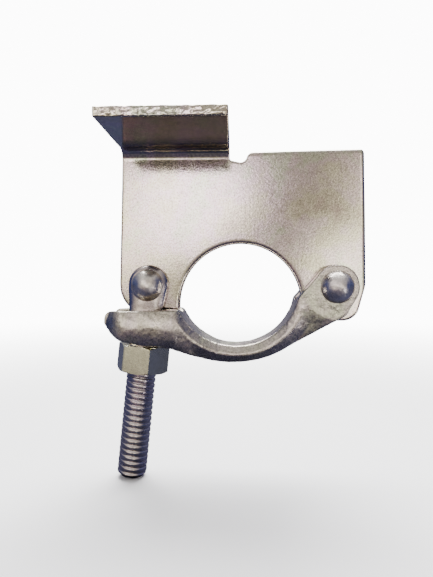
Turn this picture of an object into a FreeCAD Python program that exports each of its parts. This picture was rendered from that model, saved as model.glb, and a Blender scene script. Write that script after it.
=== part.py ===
import FreeCAD, Part
import Sketcher
import math
import os

# Board retaining coupler: a pressed plate with a bent board flange, a forged strap hinged on a
# rivet at the right, and a slotted hinge bolt with its nut at the left.
# X runs to the right, Y runs along the scaffold tube away from the flange side, Z is up.
# The origin is the centre of the half round tube seat, half way through the plate.

doc = FreeCAD.newDocument("board_coupler")

SIZES = [
    ("plate_thick", 4.0, "pressed plate thickness"),
    ("tube_radius", 24.5, "half round seat for a 48.3 mm tube"),
    ("plate_left", -48.0, "left edge of the plate at the bend"),
    ("plate_left_low", -49.2, "left edge of the plate at the bolt"),
    ("plate_right", 50.3, "right edge of the plate at the strap rivet"),
    ("plate_narrow", 1.0, "how much the right edge leans in towards the top"),
    ("plate_top", 61.6, "top edge of the right half"),
    ("flange_under", 62.2, "height of the flange underside"),
    ("flange_right", -4.3, "right edge of the flange"),
    ("flange_reach", 40.2, "reach of the flange from the plate front"),
    ("bend_radius", 3.8, "inside radius of the bend"),
    ("notch_right", 2.4, "right side of the bend relief notch"),
    ("notch_floor", 57.6, "floor of the bend relief notch"),
    ("right_pivot_x", 37.5, "strap rivet position"),
    ("right_pivot_z", 7.4, "strap rivet height"),
    ("left_pivot_x", -37.0, "bolt rivet position"),
    ("left_pivot_z", 8.0, "bolt rivet height"),
    ("rivet_shank", 4.0, "rivet shank radius"),
    ("rivet_dome", 6.5, "rivet dome radius"),
    ("dome_high", 4.6, "height of the factory dome"),
    ("formed_high", 3.4, "height of the closed head at the back"),
    ("run_gap", 0.05, "running clearance round a rivet shank"),
    ("side_gap", 0.3, "clearance between parts that pass each other"),
    ("strap_half", 8.2, "half width of the strap saddle"),
    ("fork_half", 12.3, "half width of the strap fork"),
    ("fork_slot", 7.3, "half width of the fork slot"),
    ("fork_slot_end", -29.6, "start of the curved end of the fork slot"),
    ("saddle_x", -1.7, "centre of the saddle curve"),
    ("saddle_z", 8.6, "centre height of the saddle curve"),
    ("ear_radius", 8.8, "strap ear radius round its rivet"),
    ("ear_slot", 16.0, "reach of the ear slot round the rivet"),
    ("bolt_lean", 5.9, "lean of the bolt in degrees"),
    ("bolt_length", 79.0, "rivet centre to bolt end"),
    ("bolt_radius", 6.0, "thread crest radius"),
    ("thread_depth", 0.7, "depth of the thread"),
    ("thread_pitch", 2.3, "spacing of the thread"),
    ("head_radius", 8.1, "bolt head radius seen from the front"),
    ("head_half", 7.0, "half thickness of the bolt head"),
    ("crotch_depth", 13.2, "depth of the bolt slot below the rivet"),
    ("nut_top", 24.5, "rivet centre to the nut bearing face"),
    ("nut_high", 10.8, "nut height"),
    ("nut_flat", 9.5, "nut centre to flat"),
    ("nut_turn", 23.3, "turn of the nut about its axis in degrees"),
]

sheet = doc.addObject("Spreadsheet::Sheet", "Sizes")
for row, (alias, value, note) in enumerate(SIZES, start=1):
    sheet.set("A%d" % row, note)
    sheet.set("B%d" % row, str(value))
    sheet.setAlias("B%d" % row, alias)
doc.recompute()


def size(alias):
    return float(getattr(sheet, alias))


def new_body(label):
    body = doc.addObject("PartDesign::Body", label)
    body.Label = label
    return body


def origin_plane(body, role):
    return next(plane for plane in body.Origin.OriginFeatures if plane.Role == role)


def flat(point):
    return FreeCAD.Vector(point[0], point[1], 0)


def new_sketch(body, name, role):
    sketch = body.newObject("Sketcher::SketchObject", name)
    sketch.AttachmentSupport = (origin_plane(body, role), [""])
    sketch.MapMode = "FlatFace"
    return sketch


def outline_sketch(body, name, role, path):
    """Closed outline. Each step is (end point) for a line or (middle, end) for an arc."""
    sketch = new_sketch(body, name, role)
    start = path[-1][-1]
    edges = []
    for step in path:
        if len(step) == 1:
            edges.append(Part.LineSegment(flat(start), flat(step[0])))
        else:
            edges.append(Part.Arc(flat(start), flat(step[0]), flat(step[1])))
        start = step[-1]
    for edge in edges:
        sketch.addGeometry(edge, False)
    for index in range(len(edges)):
        sketch.addConstraint(Sketcher.Constraint("Block", index))
    return sketch


def circle_sketch(body, name, role, centre, radius_formula):
    """One circle whose radius follows the size sheet."""
    sketch = new_sketch(body, name, role)
    circle = Part.Circle(flat(centre), FreeCAD.Vector(0, 0, 1), 5.0)
    sketch.addGeometry(circle, False)
    sketch.addConstraint(Sketcher.Constraint("Radius", 0, 5.0))
    sketch.renameConstraint(0, "radius")
    sketch.setExpression("Constraints.radius", radius_formula)
    return sketch


def pad(body, name, sketch, length_formula):
    feature = body.newObject("PartDesign::Pad", name)
    feature.Profile = sketch
    feature.Midplane = True
    feature.setExpression("Length", length_formula)
    doc.recompute()
    return feature


def pocket(body, name, sketch, length_formula):
    before = body.Shape.Volume
    feature = body.newObject("PartDesign::Pocket", name)
    feature.Profile = sketch
    feature.Midplane = True
    feature.setExpression("Length", length_formula)
    doc.recompute()
    if body.Shape.Volume >= before:
        raise RuntimeError(name + " removed nothing")
    return feature


def revolve(body, name, sketch, axis):
    feature = body.newObject("PartDesign::Revolution", name)
    feature.Profile = sketch
    feature.ReferenceAxis = (sketch, [axis])
    feature.Angle = 360.0
    doc.recompute()
    return feature


def round_edges(body, name, radius, wanted):
    """Fillet the edges of the current tip that the test function picks."""
    tip = body.Tip
    names = ["Edge%d" % (index + 1) for index, edge in enumerate(tip.Shape.Edges) if wanted(edge)]
    feature = body.newObject("PartDesign::Fillet", name)
    feature.Base = (tip, names)
    feature.Radius = radius
    doc.recompute()
    return feature


def on_circle(centre, radius, degrees):
    angle = math.radians(degrees)
    return (centre[0] + radius * math.cos(angle), centre[1] + radius * math.sin(angle))


RIGHT_PIVOT = (size("right_pivot_x"), size("right_pivot_z"))
LEFT_PIVOT = (size("left_pivot_x"), size("left_pivot_z"))
TUBE = size("tube_radius")
PLATE_LEFT = size("plate_left")
PLATE_RIGHT = size("plate_right")
FRONT = -size("plate_thick") / 2.0

# ---------------------------------------------------------------- pressed plate with its flange
plate = new_body("body_plate")
bend_start = size("flange_under") - size("bend_radius")
notch_left = size("flange_right")
notch_right = size("notch_right")
notch_floor = size("notch_floor")
notch_middle = (notch_left + notch_right) / 2.0
lobe_reach = 12.3
LOBE_FLOOR = -2.2
lobe_start = on_circle(LEFT_PIVOT, lobe_reach, 193.0)
lobe_middle = on_circle(LEFT_PIVOT, lobe_reach, 213.0)
lobe_end_x = LEFT_PIVOT[0] - math.sqrt(lobe_reach ** 2 - (LEFT_PIVOT[1] - LOBE_FLOOR) ** 2)

top_right = PLATE_RIGHT - size("plate_narrow")

plate_path = [
    ((PLATE_LEFT, bend_start),),
    ((notch_left - 0.6, bend_start),),
    ((notch_left + 0.5, notch_floor + 0.6), (notch_middle, notch_floor)),
    ((notch_right - 0.6, notch_floor + 0.7), (notch_right, notch_floor + 2.2)),
    ((4.0, size("plate_top")),),
    ((top_right - 2.0, size("plate_top") + 0.8),),
    ((top_right - 0.6, size("plate_top") + 0.2), (top_right, size("plate_top") - 1.2)),
    ((PLATE_RIGHT, 8.6),),
    ((47.2, -2.6),),
    ((44.6, -5.4), (40.4, -6.5)),
    ((33.0, -6.5),),
    ((28.0, -4.9), (TUBE, 0.0)),
    ((0.0, TUBE), (-TUBE, 0.0)),
    ((-TUBE, LOBE_FLOOR),),
    ((lobe_end_x, LOBE_FLOOR),),
    (lobe_middle, lobe_start),
    ((size("plate_left_low"), lobe_start[1] + 3.0),),
]
pad(plate, "plate_sheet", outline_sketch(plate, "plate_outline", "XZ_Plane", plate_path),
    "Sizes.plate_thick")

under = size("flange_under")
thick = size("plate_thick")
inner = size("bend_radius")
outer = inner + thick
bend_y = FRONT - inner
reach_y = FRONT - size("flange_reach")
corner = math.sqrt(0.5)
flange_path = [
    ((FRONT, bend_start),),
    ((bend_y + inner * corner, bend_start + inner * corner), (bend_y, under)),
    ((reach_y, under),),
    ((reach_y, under + thick - 1.0),),
    ((reach_y + 0.3, under + thick - 0.3), (reach_y + 1.0, under + thick)),
    ((bend_y, under + thick),),
    ((bend_y + outer * corner, bend_start + outer * corner), (-FRONT, bend_start)),
    ((-FRONT, bend_start - 4.0),),
    ((FRONT, bend_start - 4.0),),
]
flange_sketch = outline_sketch(plate, "flange_outline", "YZ_Plane", flange_path)
flange_sketch.AttachmentOffset = FreeCAD.Placement(
    FreeCAD.Vector(0, 0, (PLATE_LEFT + notch_left) / 2.0), FreeCAD.Rotation())
pad(plate, "board_flange", flange_sketch, "Sizes.flange_right - Sizes.plate_left")

pocket(plate, "strap_rivet_hole",
       circle_sketch(plate, "strap_rivet_circle", "XZ_Plane", RIGHT_PIVOT, "Sizes.rivet_shank"), "20")
pocket(plate, "bolt_rivet_hole",
       circle_sketch(plate, "bolt_rivet_circle", "XZ_Plane", LEFT_PIVOT, "Sizes.rivet_shank"), "20")


def is_front_rim(edge):
    box = edge.BoundBox
    on_front = box.YMax < FRONT + 0.01 and box.YMin > FRONT - 0.01
    seat = edge.Length > 60.0 and box.ZMax < TUBE + 0.1
    right_side = box.XMin > PLATE_RIGHT - 1.5 and box.ZMax < size("plate_top")
    return on_front and (seat or right_side)


round_edges(plate, "die_roll", 1.4, is_front_rim)

# ---------------------------------------------------------------- forged strap
strap = new_body("clamp_strap")
saddle_centre = (size("saddle_x"), size("saddle_z"))
saddle_left = (saddle_centre[0] - math.sqrt(TUBE ** 2 - 11.6 ** 2), saddle_centre[1] - 11.6)
saddle_right = (saddle_centre[0] + math.sqrt(TUBE ** 2 - 5.6 ** 2), saddle_centre[1] - 5.6)
saddle_low = (saddle_centre[0], saddle_centre[1] - TUBE)
saddle_path = [
    (saddle_low, saddle_right),
    (on_circle(RIGHT_PIVOT, size("ear_radius"), 150.0),),
    (RIGHT_PIVOT,),
    (on_circle(RIGHT_PIVOT, size("ear_radius"), -22.0),),
    ((41.2, -3.8),),
    ((15.8, -18.2),),
    ((-1.9, -22.7), (-19.3, -19.8)),
    ((-28.5, -16.9),),
    ((-28.5, -3.0),),
    (saddle_left,),
]
pad(strap, "saddle", outline_sketch(strap, "saddle_outline", "XZ_Plane", saddle_path),
    "2 * Sizes.strap_half")
pad(strap, "ears", circle_sketch(strap, "ear_circle", "XZ_Plane", RIGHT_PIVOT, "Sizes.ear_radius"),
    "2 * Sizes.strap_half")

nut_clear = size("nut_top") - size("side_gap")


def under_fork(x):
    """Height of the fork underside that lets the nut swing past."""
    across = x - LEFT_PIVOT[0]
    return LEFT_PIVOT[1] - math.sqrt(nut_clear ** 2 - across ** 2)


def saddle_bed(x):
    """Height of the saddle curve."""
    return saddle_centre[1] - math.sqrt(TUBE ** 2 - (x - saddle_centre[0]) ** 2)


fork_path = [
    ((-24.6, -1.6),),
    ((-50.8, -2.1),),
    ((-53.1, -2.9), (-54.0, -5.0)),
    ((-54.0, -7.0),),
    ((-51.6, under_fork(-51.6) + 0.9), (-46.6, under_fork(-46.6)),),
    ((-37.0, under_fork(-37.0)),),
    ((-31.0, -16.0),),
    ((-19.3, -19.8),),
    ((-13.8, -21.4), (-8.0, -22.3)),
    ((-8.0, saddle_bed(-8.0)),),
    ((-17.5, saddle_bed(-17.5)), (-23.6, saddle_bed(-23.6))),
]
pad(strap, "fork", outline_sketch(strap, "fork_outline", "XZ_Plane", fork_path),
    "2 * Sizes.fork_half")

slot_half = size("fork_slot")
slot_end = size("fork_slot_end")
slot_path = [
    ((-70.0, -slot_half),),
    ((slot_end, -slot_half),),
    ((slot_end + 2.4, 0.0), (slot_end, slot_half)),
    ((-70.0, slot_half),),
]
pocket(strap, "bolt_slot", outline_sketch(strap, "slot_outline", "XY_Plane", slot_path), "80")
# the fork narrows down to the saddle along its shoulders
shoulder_path = [
    ((-26.5, size("fork_half")),),
    ((-8.6, size("strap_half")),),
    ((-5.0, size("strap_half")),),
    ((-5.0, 20.0),),
    ((-26.5, 20.0),),
]
for side, label in ((1.0, "back"), (-1.0, "front")):
    shoulder = [((step[0][0], side * step[0][1]),) for step in shoulder_path]
    pocket(strap, label + "_shoulder",
           outline_sketch(strap, label + "_shoulder_outline", "XY_Plane", shoulder), "80")
pocket(strap, "ear_slot",
       circle_sketch(strap, "ear_slot_circle", "XZ_Plane", RIGHT_PIVOT, "Sizes.ear_slot"),
       "Sizes.plate_thick + 2 * Sizes.side_gap")
relief_path = [
    ((-30.0, -2.7),),
    ((-20.0, -2.7),),
    ((-20.0, 2.0),),
    ((-30.0, 2.0),),
]
pocket(strap, "plate_relief", outline_sketch(strap, "relief_outline", "XZ_Plane", relief_path),
       "Sizes.plate_thick + 2 * Sizes.side_gap")
pocket(strap, "strap_pin_hole",
       circle_sketch(strap, "strap_pin_circle", "XZ_Plane", RIGHT_PIVOT,
                     "Sizes.rivet_shank + Sizes.run_gap"), "40")

# ---------------------------------------------------------------- slotted hinge bolt
bolt = new_body("hinge_bolt")
crest = size("bolt_radius")
root = crest - size("thread_depth")
pitch = size("thread_pitch")
length = size("bolt_length")
thread_count = int((length - 4.0 - 20.0) / pitch)

shank_path = [((0.0, -9.0),), ((6.6, -9.0),), ((crest, -16.0),)]
depth = length - 2.5 - thread_count * pitch
shank_path.append(((crest, -depth),))
for ring in range(thread_count):
    groove = depth + ring * pitch
    shank_path.append(((root, -(groove + 0.45 * pitch)),))
    shank_path.append(((crest, -(groove + 0.9 * pitch)),))
    shank_path.append(((crest, -(groove + pitch)),))
shank_path.append(((crest, -(length - 1.4)),))
shank_path.append(((crest - 1.4, -length),))
shank_path.append(((0.0, -length),))

head = size("head_radius")
head_path = [
    ((head, 0.0),),
    ((0.0, head), (-head, 0.0)),
    ((-6.9, -9.0),),
    ((-6.2, -15.0),),
    ((6.2, -15.0),),
    ((6.9, -9.0),),
]
pad(bolt, "head", outline_sketch(bolt, "head_outline", "XZ_Plane", head_path),
    "2 * Sizes.head_half")
revolve(bolt, "shank", outline_sketch(bolt, "shank_profile", "XZ_Plane", shank_path), "V_Axis")
crotch = size("crotch_depth")
bolt_slot_path = [
    ((-12.0, -crotch),),
    ((12.0, -crotch),),
    ((12.0, 12.0),),
    ((-12.0, 12.0),),
]
pocket(bolt, "plate_slot", outline_sketch(bolt, "plate_slot_outline", "XZ_Plane", bolt_slot_path),
       "Sizes.plate_thick + 2 * Sizes.side_gap")
pocket(bolt, "bolt_pin_hole",
       circle_sketch(bolt, "bolt_pin_circle", "XZ_Plane", (0.0, 0.0),
                     "Sizes.rivet_shank + Sizes.run_gap"), "40")

# ---------------------------------------------------------------- hex nut
nut = new_body("hex_nut")
corner_radius = size("nut_flat") / math.cos(math.radians(30.0))
hex_path = [(on_circle((0.0, 0.0), corner_radius, 60.0 * side - 90.0 + size("nut_turn")),)
            for side in range(6)]
hex_sketch = outline_sketch(nut, "hex_outline", "XY_Plane", hex_path)
hex_sketch.AttachmentOffset = FreeCAD.Placement(
    FreeCAD.Vector(0, 0, -size("nut_top") - size("nut_high") / 2.0), FreeCAD.Rotation())
pad(nut, "hexagon", hex_sketch, "Sizes.nut_high")
pocket(nut, "bore",
       circle_sketch(nut, "bore_circle", "XY_Plane", (0.0, 0.0), "Sizes.bolt_radius + 0.08"), "200")

for part_on_bolt in (bolt, nut):
    part_on_bolt.setExpression("Placement.Base.x", "Sizes.left_pivot_x")
    part_on_bolt.setExpression("Placement.Base.z", "Sizes.left_pivot_z")
    part_on_bolt.Placement.Rotation = FreeCAD.Rotation(FreeCAD.Vector(0, 1, 0), size("bolt_lean"))


# ---------------------------------------------------------------- two rivets
def cap_middle(radius, height):
    """Point half way along a round cap, as distance from the axis and height over its base."""
    ball = (radius ** 2 + height ** 2) / (2.0 * height)
    half_angle = math.asin(radius / ball) / 2.0
    return ball * math.sin(half_angle), ball * math.cos(half_angle) - ball + height


def make_rivet(label, half_grip, pivot_name):
    """Domed rivet along Y: factory dome at the flange side, lower closed head at the back."""
    body = new_body(label)
    shank = size("rivet_shank")
    dome = size("rivet_dome")
    front = -half_grip
    back = half_grip
    tall = size("dome_high")
    low = size("formed_high")
    dome_out, dome_up = cap_middle(dome, tall)
    closed = dome - 0.4
    closed_out, closed_up = cap_middle(closed, low)
    path = [
        ((0.0, front - tall),),
        ((dome_out, front - dome_up), (dome, front)),
        ((shank, front),),
        ((shank, back),),
        ((closed, back),),
        ((closed_out, back + closed_up), (0.0, back + low)),
    ]
    revolve(body, label + "_turn", outline_sketch(body, label + "_profile", "XY_Plane", path), "V_Axis")
    body.setExpression("Placement.Base.x", "Sizes.%s_x" % pivot_name)
    body.setExpression("Placement.Base.z", "Sizes.%s_z" % pivot_name)
    return body


strap_rivet = make_rivet("strap_rivet", size("strap_half") + size("side_gap"), "right_pivot")
bolt_rivet = make_rivet("bolt_rivet", size("head_half") + size("side_gap"), "left_pivot")

# ---------------------------------------------------------------- check and save
doc.recompute()
for item in doc.Objects:
    if "Invalid" in item.State or "Error" in item.State:
        raise RuntimeError(item.Label + " did not build")

os.makedirs("parts", exist_ok=True)
for sub_part in (plate, strap_rivet, bolt_rivet, strap, bolt, nut):
    shape = sub_part.Shape
    if shape.isNull() or not shape.isValid():
        raise RuntimeError(sub_part.Label + " has a bad shape")
    shape.exportStep("parts/" + sub_part.Label + ".step")
    print(sub_part.Label, round(shape.Volume), len(shape.Solids), shape.BoundBox)
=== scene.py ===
import math

import bmesh
import bpy
from mathutils import Matrix, Vector, noise


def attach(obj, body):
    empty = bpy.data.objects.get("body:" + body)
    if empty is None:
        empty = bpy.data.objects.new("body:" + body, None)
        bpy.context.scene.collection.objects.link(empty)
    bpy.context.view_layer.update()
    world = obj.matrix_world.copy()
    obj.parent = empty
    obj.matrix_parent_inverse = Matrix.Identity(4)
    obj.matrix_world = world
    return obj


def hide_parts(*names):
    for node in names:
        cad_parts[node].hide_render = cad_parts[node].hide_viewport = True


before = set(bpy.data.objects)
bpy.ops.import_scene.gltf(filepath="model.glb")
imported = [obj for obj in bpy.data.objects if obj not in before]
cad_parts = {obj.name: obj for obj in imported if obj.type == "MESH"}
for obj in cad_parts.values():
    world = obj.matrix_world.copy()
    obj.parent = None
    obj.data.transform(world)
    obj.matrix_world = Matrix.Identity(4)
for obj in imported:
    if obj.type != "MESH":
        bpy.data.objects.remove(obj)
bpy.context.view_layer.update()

MM = 0.001
RIGHT_PIVOT = Vector((37.5, 0.0, 7.4)) * MM
LEFT_PIVOT = Vector((-37.0, 0.0, 8.0)) * MM
SADDLE = Vector((-1.7, 0.0, 8.6)) * MM
BOLT_LEAN = math.radians(5.9)
BOLT_END = 79.0 * MM
THREAD_TOP = 18.0 * MM
THREAD_RADIUS = 6.0 * MM
THREAD_DEPTH = 0.42 * MM
THREAD_PITCH = 2.3 * MM
NUT_TOP = 24.5 * MM
NUT_HIGH = 10.8 * MM
NUT_FLAT = 9.5 * MM
NUT_TURN = math.radians(23.3)
CHAMFER_START = 0.2 * MM
CHAMFER_SLOPE = 1.75
# rivet radii and heights in millimetres
DOME_RADIUS, DOME_HIGH = 6.5, 4.6
CLOSED_RADIUS, CLOSED_HIGH = 6.1, 3.4
RIVET_SHANK = 3.95
RIVET_AROUND = 72
CAP_STEPS = 26
CAP_START = 0.03
# shape of the strap in millimetres
STRAP_INNER, STRAP_OUTER = 27.4, 28.4
FORK_SLOT_SIDE = 7.4
FLOOR_Z = -71.3 * MM
BACKDROP = (12.0, 12.0, 12.0)
# soft lamps in the studio: direction, inner and outer angle, colour
LAMPS = [
    ((-0.270, -0.96, 0.09), 2.0, 10.5, (4.2, 4.0, 3.3)),
    ((-0.090, -0.983, 0.165), 1.5, 9.6, (6.8, 6.2, 6.7)),
    ((-0.460, -0.80, 0.390), 5.0, 16.0, (3.2, 3.0, 2.9)),
    ((-0.330, -0.89, -0.320), 1.0, 7.0, (0.65, 0.42, 0.42)),
    ((0.670, -0.67, -0.320), 2.0, 8.5, (8.0, 7.8, 8.0)),
    ((0.260, -0.96, -0.020), 2.0, 9.0, (5.0, 4.9, 4.3)),
    ((0.350, -0.92, 0.160), 2.0, 8.0, (3.6, 3.4, 3.0)),
]
CAMERA_SPOT = Vector((-2.2, -189.0, 12.0)) * MM
CAMERA_YAW = math.radians(2.3)
CAMERA_PITCH = math.radians(-1.66)
CAMERA_LENS = 28.9


# ------------------------------------------------------------------ mesh helpers
def new_object(name, mesh):
    obj = bpy.data.objects.new(name, mesh)
    bpy.context.scene.collection.objects.link(obj)
    return obj


def apply_modifier(obj, kind, **values):
    modifier = obj.modifiers.new(kind, kind)
    for key, value in values.items():
        setattr(modifier, key, value)
    depsgraph = bpy.context.evaluated_depsgraph_get()
    mesh = bpy.data.meshes.new_from_object(obj.evaluated_get(depsgraph))
    obj.modifiers.clear()
    obj.data = mesh


def remeshed_copy(node, name, voxel, smoothing):
    """A copy of a CAD node as one fine even skin with its edges eased."""
    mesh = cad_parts[node].data.copy()
    mesh.materials.clear()
    obj = new_object(name, mesh)
    weld = bmesh.new()
    weld.from_mesh(obj.data)
    bmesh.ops.remove_doubles(weld, verts=weld.verts, dist=1e-7)
    weld.to_mesh(obj.data)
    weld.free()
    apply_modifier(obj, "REMESH", mode="VOXEL", voxel_size=voxel, adaptivity=0.0)
    apply_modifier(obj, "SMOOTH", factor=0.5, iterations=smoothing)
    return obj


def shift_points(obj, rule):
    """Moves every point by what the rule returns for its place and normal."""
    mesh = obj.data
    normals = [vertex.normal.copy() for vertex in mesh.vertices]
    for vertex, normal in zip(mesh.vertices, normals):
        vertex.co += rule(vertex.co.copy(), normal)
    mesh.update()


def wave(point, spacing, seed):
    return noise.noise(point / spacing + Vector((seed, seed * 1.7, -seed)))


def finish_piece(obj, node, body, material):
    for polygon in obj.data.polygons:
        polygon.use_smooth = True
    obj.data.materials.clear()
    obj.data.materials.append(material)
    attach(obj, body)
    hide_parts(node)


def skin_rows(rows, name, close_first, close_last):
    """Surface through equal closed rings of points."""
    mesh = bmesh.new()
    rings = [[mesh.verts.new(point) for point in row] for row in rows]
    count = len(rings[0])
    for low, high in zip(rings, rings[1:]):
        for index in range(count):
            after = (index + 1) % count
            mesh.faces.new((low[index], low[after], high[after], high[index]))
    for ring, wanted in ((rings[0], close_first), (rings[-1], close_last)):
        if wanted:
            centre = mesh.verts.new(sum((v.co for v in ring), Vector()) / count)
            for index in range(count):
                mesh.faces.new((ring[index], ring[(index + 1) % count], centre))
    bmesh.ops.recalc_face_normals(mesh, faces=mesh.faces)
    data = bpy.data.meshes.new(name)
    mesh.to_mesh(data)
    mesh.free()
    return new_object(name, data)


# ------------------------------------------------------------------ materials
def add(nodes, kind, **values):
    node = nodes.new(kind)
    for key, value in values.items():
        setattr(node, key, value)
    return node


def rgb(tree, colour):
    node = add(tree.nodes, "ShaderNodeRGB")
    node.outputs[0].default_value = (*colour, 1.0)
    return node.outputs[0]


def map_range(tree, value, start, end, low=0.0, high=1.0, easing="LINEAR"):
    """Low at start and below, high at end and above."""
    node = add(tree.nodes, "ShaderNodeMapRange", interpolation_type=easing)
    node.inputs["From Min"].default_value = start
    node.inputs["From Max"].default_value = end
    node.inputs["To Min"].default_value = low
    node.inputs["To Max"].default_value = high
    tree.links.new(value, node.inputs["Value"])
    return node.outputs["Result"]


def noise_node(tree, scale, detail, rough):
    nodes = tree.nodes
    coords = add(nodes, "ShaderNodeTexCoord")
    texture = add(nodes, "ShaderNodeTexNoise")
    texture.inputs["Scale"].default_value = scale
    texture.inputs["Detail"].default_value = detail
    texture.inputs["Roughness"].default_value = rough
    tree.links.new(coords.outputs["Object"], texture.inputs["Vector"])
    return texture


def ramp_node(tree, source, stops):
    ramp = add(tree.nodes, "ShaderNodeValToRGB")
    elements = ramp.color_ramp.elements
    while len(elements) < len(stops):
        elements.new(0.5)
    for element, (place, colour) in zip(elements, stops):
        element.position = place
        element.color = (*colour, 1.0)
    tree.links.new(source, ramp.inputs["Fac"])
    return ramp


def mix_node(tree, factor, first, second, blend="MIX"):
    mix = add(tree.nodes, "ShaderNodeMix", data_type="RGBA", blend_type=blend)
    if isinstance(factor, float):
        mix.inputs["Factor"].default_value = factor
    else:
        tree.links.new(factor, mix.inputs["Factor"])
    tree.links.new(first, mix.inputs["A"])
    tree.links.new(second, mix.inputs["B"])
    return mix


def zinc(name, tints, grain, shine, bump, speck_scale=900.0, grime=0.35):
    """Yellow passivated zinc: cloudy tints, fine grain, uneven shine."""
    material = bpy.data.materials.new(name)
    material.use_nodes = True
    tree = material.node_tree
    shader = tree.nodes["Principled BSDF"]
    shader.inputs["Metallic"].default_value = 1.0
    clouds = noise_node(tree, 42.0, 5.0, 0.62)
    tint = ramp_node(tree, clouds.outputs["Fac"], tints)
    speck = noise_node(tree, speck_scale, 6.0, 0.75)
    speck_ramp = ramp_node(tree, speck.outputs["Fac"], [
        (0.36, (1.0 - grime,) * 3), (0.58, (1.0, 1.0, 1.0))])
    base = mix_node(tree, grain, tint.outputs["Color"], speck_ramp.outputs["Color"], "MULTIPLY")
    tree.links.new(base.outputs["Result"], shader.inputs["Base Color"])
    uneven = noise_node(tree, 260.0, 6.0, 0.7)
    rough = map_range(tree, uneven.outputs["Fac"], 0.3, 0.7, *shine)
    tree.links.new(rough, shader.inputs["Roughness"])
    relief = noise_node(tree, speck_scale * 0.9, 3.0, 0.6)
    bumper = add(tree.nodes, "ShaderNodeBump")
    bumper.inputs["Strength"].default_value = bump
    bumper.inputs["Distance"].default_value = 0.0001
    tree.links.new(relief.outputs["Fac"], bumper.inputs["Height"])
    tree.links.new(bumper.outputs["Normal"], shader.inputs["Normal"])
    return material


def plain_floor():
    """Pale floor. The camera sees it melt into the backdrop, and reflections see it dark."""
    material = bpy.data.materials.new("floor")
    material.use_nodes = True
    tree = material.node_tree
    shader = tree.nodes["Principled BSDF"]
    shader.inputs["Roughness"].default_value = 0.9
    shader.inputs["Specular IOR Level"].default_value = 0.1
    path = add(tree.nodes, "ShaderNodeLightPath")
    pale = rgb(tree, (0.93, 0.93, 0.93))
    dim = rgb(tree, (0.022, 0.024, 0.050))
    mixed = mix_node(tree, path.outputs["Is Glossy Ray"], pale, dim)
    tree.links.new(mixed.outputs["Result"], shader.inputs["Base Color"])
    coords = add(tree.nodes, "ShaderNodeTexCoord")
    distance = add(tree.nodes, "ShaderNodeVectorMath", operation="LENGTH")
    tree.links.new(coords.outputs["Object"], distance.inputs[0])
    far = map_range(tree, distance.outputs["Value"], 0.16, 0.75, easing="SMOOTHSTEP")
    glow = add(tree.nodes, "ShaderNodeEmission")
    glow.inputs["Color"].default_value = (*BACKDROP, 1.0)
    blend = add(tree.nodes, "ShaderNodeMixShader")
    shown = add(tree.nodes, "ShaderNodeMath", operation="MULTIPLY")
    tree.links.new(far, shown.inputs[0])
    tree.links.new(path.outputs["Is Camera Ray"], shown.inputs[1])
    tree.links.new(shown.outputs["Value"], blend.inputs["Fac"])
    tree.links.new(shader.outputs["BSDF"], blend.inputs[1])
    tree.links.new(glow.outputs["Emission"], blend.inputs[2])
    tree.links.new(blend.outputs["Shader"], tree.nodes["Material Output"].inputs["Surface"])
    return material


SHEET_TINTS = [(0.32, (0.52, 0.42, 0.36)), (0.44, (0.62, 0.57, 0.43)),
               (0.53, (0.66, 0.54, 0.53)), (0.61, (0.57, 0.58, 0.44)), (0.72, (0.62, 0.50, 0.50))]
FORGED_TINTS = [(0.26, (0.38, 0.31, 0.24)), (0.42, (0.56, 0.52, 0.42)),
                (0.52, (0.57, 0.50, 0.46)), (0.60, (0.54, 0.53, 0.41)), (0.74, (0.58, 0.52, 0.45))]
RIVET_TINTS = [(0.30, (0.62, 0.55, 0.49)), (0.50, (0.78, 0.73, 0.66)),
               (0.70, (0.74, 0.67, 0.66))]
BOLT_TINTS = [(0.30, (0.46, 0.38, 0.34)), (0.50, (0.62, 0.55, 0.52)),
              (0.70, (0.54, 0.44, 0.48))]
NUT_TINTS = [(0.30, (0.60, 0.58, 0.38)), (0.50, (0.74, 0.72, 0.52)),
             (0.70, (0.66, 0.66, 0.46))]


# ------------------------------------------------------------------ pieces
def make_plate():
    """Pressed plate and flange with sheared, slightly uneven edges."""
    obj = remeshed_copy("body_plate", "plate_skin", 0.42 * MM, 4)
    tip = -42.2 * MM

    def sheared(point, normal):
        move = Vector()
        if point.y < tip + 0.9 * MM:
            rough = wave(Vector((point.x, 0.0, point.z * 2.0)), 1.8 * MM, 3.0)
            fine = wave(point, 0.8 * MM, 9.0)
            facing = max(0.0, -normal.y)
            move += normal * facing * (0.22 * rough + 0.12 * fine - 0.16) * MM
        broad = wave(point, 24.0 * MM, 5.0)
        move += normal * (0.10 * broad - 0.10) * MM
        return move

    shift_points(obj, sheared)
    material = zinc("plate_zinc", SHEET_TINTS, 1.0, (0.08, 0.17), 0.20, 1500.0, 0.55)
    finish_piece(obj, "body_plate", "plate", material)


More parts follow.
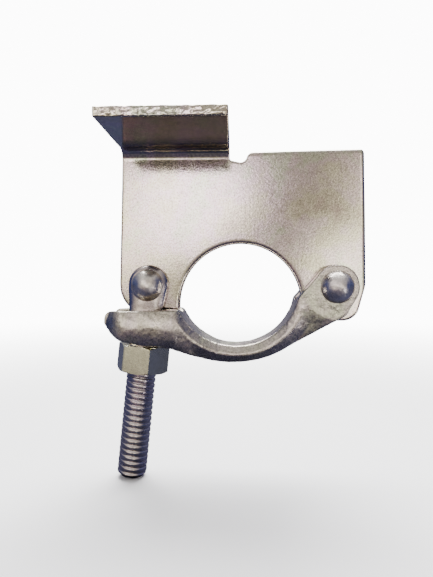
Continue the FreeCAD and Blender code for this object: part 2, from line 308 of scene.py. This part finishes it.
def strap_shape(point, normal):
    """Drafted sides that meet at a parting ridge, a rounded fork, plus forging unevenness."""
    move = Vector()
    x, y, z = point.x / MM, abs(point.y) / MM, point.z / MM
    side = 1.0 if point.y > 0.0 else -1.0
    reach = math.hypot(point.x - SADDLE.x, point.z - SADDLE.z) / MM
    from_ear = math.hypot(point.x - RIGHT_PIVOT.x, point.z - RIGHT_PIVOT.z) / MM
    ear_blend = min(1.0, max(0.0, (from_ear - 13.0) / 12.0))
    inner_drop = max(0.0, STRAP_INNER - reach) * 0.62
    outer_drop = max(0.0, reach - STRAP_OUTER) * 0.52
    fork_blend = min(1.0, max(0.0, (x + 25.0) / 9.0))
    outer_drop *= fork_blend
    inner_drop *= min(1.0, max(0.0, (x + 27.0) / 4.0))
    drop = min(2.2, inner_drop + outer_drop) * ear_blend
    drop *= min(1.0, max(0.0, y - 3.2) / 5.0)
    if x < -20.0 and y > FORK_SLOT_SIDE:
        belly = 0.034 * (z + 8.6) ** 2
        nose = 0.055 * max(0.0, -45.5 - x) ** 2
        share = min(1.0, (y - FORK_SLOT_SIDE) / 3.5) * min(1.0, (-20.0 - x) / 7.0)
        drop += min(3.2, belly + nose) * share
    move.y -= side * drop * MM
    rough = wave(point, 5.5 * MM, 2.0) * 0.16 + wave(point, 1.5 * MM, 7.0) * 0.09
    move += normal * (rough - 0.14) * MM
    return move


def make_strap():
    obj = remeshed_copy("clamp_strap", "strap_skin", 0.36 * MM, 9)
    shift_points(obj, strap_shape)
    material = zinc("strap_zinc", FORGED_TINTS, 0.9, (0.24, 0.38), 0.7, 1500.0, 0.6)
    finish_piece(obj, "clamp_strap", "strap", material)


def cap_points(radius, high):
    """Radius and drop below the top, from the top to the rim of a round cap."""
    ball = (radius ** 2 + high ** 2) / (2.0 * high)
    rim = math.asin(radius / ball)
    points = []
    for step in range(CAP_STEPS):
        angle = CAP_START + (rim - CAP_START) * step / (CAP_STEPS - 1)
        points.append((ball * math.sin(angle), ball * (1.0 - math.cos(angle))))
    return points


def make_rivet(node, pivot, half_grip, dent):
    """Domed rivet turned about Y, with a few hammer flats."""
    profile = [(radius, -half_grip - DOME_HIGH + drop)
               for radius, drop in cap_points(DOME_RADIUS, DOME_HIGH)]
    profile += [(DOME_RADIUS - 0.15, -half_grip - 0.02), (RIVET_SHANK + 0.4, -half_grip),
                (RIVET_SHANK, -half_grip + 0.2), (RIVET_SHANK, half_grip - 0.2),
                (CLOSED_RADIUS - 0.1, half_grip), (CLOSED_RADIUS, half_grip + 0.2)]
    profile += [(radius * 0.995, half_grip + CLOSED_HIGH - drop - 0.01)
                for radius, drop in reversed(cap_points(CLOSED_RADIUS, CLOSED_HIGH))]
    rows = []
    for radius, along in profile:
        row = []
        for index in range(RIVET_AROUND):
            turn = 2.0 * math.pi * index / RIVET_AROUND
            row.append(pivot + Vector((radius * math.cos(turn), along, radius * math.sin(turn))) * MM)
        rows.append(row)
    obj = skin_rows(rows, node + "_skin", True, True)
    shift_points(obj, lambda point, normal: normal * MM * (
        0.14 * wave(point, 3.4 * MM, dent) + 0.05 * wave(point, 1.1 * MM, dent + 4.0) - 0.10))
    material = zinc(node + "_zinc", RIVET_TINTS, 0.7, (0.26, 0.40), 0.3, 1500.0)
    finish_piece(obj, node, "plate", material)


def lean_frame():
    """Bolt space: origin on the bolt rivet, minus Z along the shank."""
    return Matrix.Translation(LEFT_PIVOT) @ Matrix.Rotation(BOLT_LEAN, 4, "Y")


def round_head(point, normal):
    """Eases the bolt head down towards its rim, as a forged eye."""
    local = lean_frame().inverted() @ point
    out = math.hypot(local.x, max(0.0, local.z)) / (8.0 * MM)
    side = 1.0 if point.y > 0.0 else -1.0
    share = min(1.0, max(0.0, abs(point.y) / MM - 3.0) / 3.0)
    drop = 2.3 * min(1.1, out) ** 3 * share
    uneven = 0.10 * wave(point, 4.0 * MM, 1.0) - 0.05
    return Vector((0.0, -side * drop, 0.0)) * MM + normal * MM * uneven


def thread_radius(along, phase):
    """Radius of the shank where phase runs from 0 to 1 across one thread."""
    valley = max(0.0, 1.0 - abs(phase * 2.0 - 1.0) / 0.46)
    swell = 0.10 * math.cos(math.pi * (phase * 2.0 - 1.0))
    radius = THREAD_RADIUS - THREAD_DEPTH * min(1.0, valley * 1.3) - swell * 0.35 * MM
    end_taper = THREAD_RADIUS - 1.5 * MM + max(0.0, BOLT_END - along) * 0.95
    radius = min(radius, end_taper)
    fade = min(1.0, (along - THREAD_TOP) / (3.0 * MM))
    return radius * fade + (THREAD_RADIUS - 0.05 * MM) * (1.0 - fade)


def make_bolt():
    """Slotted head remeshed from the solid, with a helical thread on the shank."""
    head = remeshed_copy("hinge_bolt", "bolt_skin", 0.34 * MM, 6)
    back = lean_frame().inverted()
    cut = bmesh.new()
    cut.from_mesh(head.data)
    low = [vertex for vertex in cut.verts if (back @ vertex.co).z < -(THREAD_TOP + 2.0 * MM)]
    bmesh.ops.delete(cut, geom=low, context="VERTS")
    for vertex in cut.verts:
        local = back @ vertex.co
        if local.z < -(THREAD_TOP - 0.5 * MM):
            side = Vector((local.x, local.y, 0.0))
            local -= side.normalized() * 0.35 * MM
            vertex.co = lean_frame() @ local
    cut.to_mesh(head.data)
    cut.free()
    rows = []
    around = 72
    step = THREAD_PITCH / 12.0
    count = int((BOLT_END - THREAD_TOP) / step)
    for row in range(count + 1):
        along = THREAD_TOP + row * step
        ring = []
        for index in range(around):
            turn = 2.0 * math.pi * index / around
            phase = (along / THREAD_PITCH - index / around) % 1.0
            radius = thread_radius(along, phase)
            place = Vector((radius * math.cos(turn), radius * math.sin(turn), -along))
            ring.append(lean_frame() @ place)
        rows.append(ring)
    shank = skin_rows(rows, "thread_skin", False, True)
    shift_points(head, round_head)
    shift_points(shank, lambda point, normal: normal * MM * (0.03 * wave(point, 0.9 * MM, 6.0) - 0.03))
    joined = bmesh.new()
    joined.from_mesh(head.data)
    joined.from_mesh(shank.data)
    joined.to_mesh(head.data)
    joined.free()
    bpy.data.objects.remove(shank)
    material = zinc("bolt_zinc", BOLT_TINTS, 0.6, (0.16, 0.30), 0.2)
    finish_piece(head, "hinge_bolt", "bolt", material)


def nut_radius(turn, edge_gap):
    """Distance of the nut side from its axis, with the corners cut back near both faces."""
    sixth = math.pi / 3.0
    inside = (turn + sixth / 2.0) % sixth - sixth / 2.0
    hexagon = NUT_FLAT / math.cos(inside)
    return min(hexagon, NUT_FLAT + CHAMFER_START + edge_gap * CHAMFER_SLOPE)


def make_nut():
    around = 144
    levels = [0.0, 0.15, 0.3, 0.5, 0.7, 0.9, 1.1, 1.4, 2.0, 3.5, 5.6]
    levels += [NUT_HIGH / MM - level for level in reversed(levels[:-1])]
    rows = []
    bore = THREAD_RADIUS + 0.12 * MM

    def ring(radius_rule, along):
        points = []
        for index in range(around):
            turn = 2.0 * math.pi * index / around
            radius = radius_rule(turn - NUT_TURN + math.pi / 2.0 - math.pi / 6.0)
            place = Vector((radius * math.cos(turn), radius * math.sin(turn), -NUT_TOP - along))
            points.append(lean_frame() @ place)
        return points

    rows.append(ring(lambda turn: bore, NUT_HIGH / 2.0))
    rows.append(ring(lambda turn: bore, 0.5 * MM))
    rows.append(ring(lambda turn: bore + 0.45 * MM, 0.05 * MM))
    rows.append(ring(lambda turn: bore + 0.7 * MM, 0.0))
    for level in levels:
        gap = min(level, NUT_HIGH / MM - level) * MM
        rows.append(ring(lambda turn, gap=gap: nut_radius(turn, gap), level * MM))
    rows.append(ring(lambda turn: bore + 0.7 * MM, NUT_HIGH))
    rows.append(ring(lambda turn: bore + 0.45 * MM, NUT_HIGH - 0.05 * MM))
    rows.append(ring(lambda turn: bore, NUT_HIGH - 0.5 * MM))
    rows.append(ring(lambda turn: bore, NUT_HIGH / 2.0))
    obj = skin_rows(rows, "nut_skin", False, False)
    material = zinc("nut_zinc", NUT_TINTS, 0.6, (0.16, 0.28), 0.25)
    finish_piece(obj, "hex_nut", "nut", material)
    obj.data.set_sharp_from_angle(angle=math.radians(22.0))


# ------------------------------------------------------------------ stage, lights, camera
def area_light(name, place, aim, size, power, colour):
    data = bpy.data.lights.new(name, "AREA")
    data.shape = "RECTANGLE"
    data.size = size[0]
    data.size_y = size[1]
    data.energy = power
    data.color = colour
    obj = bpy.data.objects.new(name, data)
    obj.location = place
    obj.rotation_mode = "QUATERNION"
    obj.rotation_quaternion = (Vector(aim) - Vector(place)).to_track_quat("-Z", "Y")
    bpy.context.scene.collection.objects.link(obj)


def make_stage():
    mesh = bpy.data.meshes.new("floor")
    mesh.from_pydata([(-4.0, -0.085, FLOOR_Z), (4.0, -0.085, FLOOR_Z), (4.0, 6.0, FLOOR_Z),
                      (-4.0, 6.0, FLOOR_Z)], [], [(0, 1, 2, 3)])
    floor = new_object("floor", mesh)
    mesh.materials.append(plain_floor())


def make_world():
    """Studio: warm grey with soft lamps in front, dark blue at the sides and behind.

    The camera sees only the pale backdrop.
    """
    world = bpy.data.worlds.new("studio")
    bpy.context.scene.world = world
    world.use_nodes = True
    tree = world.node_tree
    background = tree.nodes["Background"]
    coords = add(tree.nodes, "ShaderNodeTexCoord")
    split = add(tree.nodes, "ShaderNodeSeparateXYZ")
    tree.links.new(coords.outputs["Generated"], split.inputs["Vector"])
    height = map_range(tree, split.outputs["Z"], -1.0, 1.0)
    ramp = ramp_node(tree, height, [
        (0.30, (0.15, 0.14, 0.20)), (0.38, (0.29, 0.26, 0.30)), (0.43, (0.66, 0.60, 0.54)),
        (0.48, (1.05, 0.98, 0.86)), (0.56, (0.62, 0.56, 0.48)), (0.72, (0.72, 0.67, 0.62)),
        (1.0, (1.0, 1.0, 1.0))])
    aside = add(tree.nodes, "ShaderNodeMath", operation="ABSOLUTE")
    tree.links.new(split.outputs["X"], aside.inputs[0])
    edge = map_range(tree, aside.outputs["Value"], 0.55, 0.90)
    behind = map_range(tree, split.outputs["Y"], 0.05, 0.40, high=0.8)
    blue = rgb(tree, (0.050, 0.075, 0.24))
    share = add(tree.nodes, "ShaderNodeMath", operation="MAXIMUM")
    tree.links.new(edge, share.inputs[0])
    tree.links.new(behind, share.inputs[1])
    colour = mix_node(tree, share.outputs["Value"], ramp.outputs["Color"], blue)
    for towards, inner, outer, glow in LAMPS:
        lamp = soft_lamp(tree, coords.outputs["Generated"], towards, inner, outer)
        colour = mix_node(tree, lamp, colour.outputs["Result"], rgb(tree, glow))
    seen = add(tree.nodes, "ShaderNodeLightPath")
    pale = rgb(tree, BACKDROP)
    mixed = mix_node(tree, seen.outputs["Is Camera Ray"], colour.outputs["Result"], pale)
    tree.links.new(mixed.outputs["Result"], background.inputs["Color"])


def soft_lamp(tree, direction, towards, inner, outer):
    """Share of a round soft lamp seen in a direction, angles in degrees."""
    dot = add(tree.nodes, "ShaderNodeVectorMath", operation="DOT_PRODUCT")
    dot.inputs[1].default_value = Vector(towards).normalized()
    tree.links.new(direction, dot.inputs[0])
    start, end = math.cos(math.radians(outer)), math.cos(math.radians(inner))
    return map_range(tree, dot.outputs["Value"], start, end, easing="SMOOTHSTEP")


def make_lights():
    area_light("top", (0.0, 0.30, 0.70), (0.0, 0.05, -0.07), (0.7, 0.6), 30.0, (1.0, 1.0, 1.0))


def make_camera():
    data = bpy.data.cameras.new("camera")
    data.lens = CAMERA_LENS
    data.sensor_width = 36.0
    data.clip_start = 0.01
    camera = bpy.data.objects.new("camera", data)
    camera.location = CAMERA_SPOT
    look = Vector((-math.sin(CAMERA_YAW) * math.cos(CAMERA_PITCH),
                   math.cos(CAMERA_YAW) * math.cos(CAMERA_PITCH), math.sin(CAMERA_PITCH)))
    camera.rotation_mode = "QUATERNION"
    camera.rotation_quaternion = look.to_track_quat("-Z", "Y")
    bpy.context.scene.collection.objects.link(camera)
    bpy.context.scene.camera = camera


make_plate()
make_strap()
make_rivet("strap_rivet", RIGHT_PIVOT, 8.5, 11.0)
make_rivet("bolt_rivet", LEFT_PIVOT, 7.3, 23.0)
make_bolt()
make_nut()
make_stage()
make_world()
make_lights()
make_camera()
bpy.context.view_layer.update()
